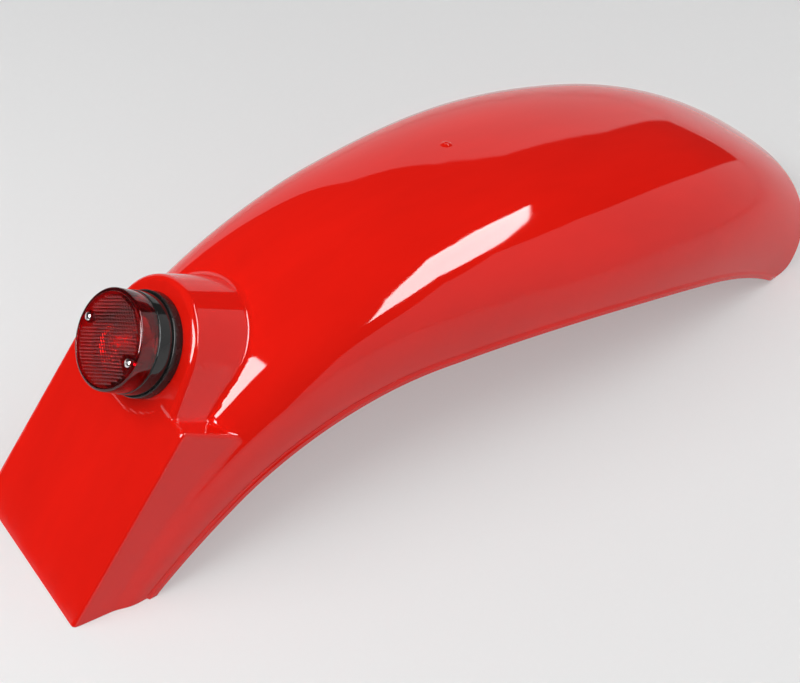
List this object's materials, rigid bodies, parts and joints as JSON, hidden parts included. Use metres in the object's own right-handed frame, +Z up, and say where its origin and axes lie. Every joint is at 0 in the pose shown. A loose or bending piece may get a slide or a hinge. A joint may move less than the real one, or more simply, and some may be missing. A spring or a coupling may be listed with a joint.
{
  "type": "motorcycle rear fender",
  "caption": "Moulded red plastic rear fender for an off-road motorcycle, with a number plate tail, a lamp pedestal and a round tail lamp.",
  "frame": {"origin": "on the ground under the middle of the overall length, in the plane of symmetry", "axes": "+X to the front end along the wheel, +Y to the left, +Z up"},
  "size_m": [0.6659, 0.2378, 0.1816],
  "materials": {
    "red_plastic": "high gloss moulded plastic",
    "gasket_rubber": "satin black rubber",
    "black_plastic": "gloss black moulded plastic",
    "reflector_silver": "bright metallised dish",
    "zinc_steel": "bright zinc plate",
    "brown_insulator": "matt phenolic board",
    "brass_contact": "satin brass",
    "clear_glass": "clear glass",
    "lens_red": "transparent red acrylic with a prism pattern",
    "chrome_screw": "polished chrome"
  },
  "bodies": {
    "root": {"fender_shell": "red_plastic", "lamp_gasket": "gasket_rubber", "lamp_base": "black_plastic", "reflector": "reflector_silver", "bulb_holder": "zinc_steel", "contact_spring": "zinc_steel", "contact_insulator": "brown_insulator", "centre_contact": "brass_contact", "bulb_cap": "brass_contact", "bulb_glass": "clear_glass", "lens_seal": "gasket_rubber", "lens": "lens_red", "lens_screw_left": "chrome_screw", "lens_screw_right": "chrome_screw", "base_bolt_upper": "zinc_steel", "base_bolt_lower": "zinc_steel", "base_washer_upper": "zinc_steel", "base_washer_lower": "zinc_steel", "base_nut_upper": "zinc_steel", "base_nut_lower": "zinc_steel"}
  },
  "joints": []
}
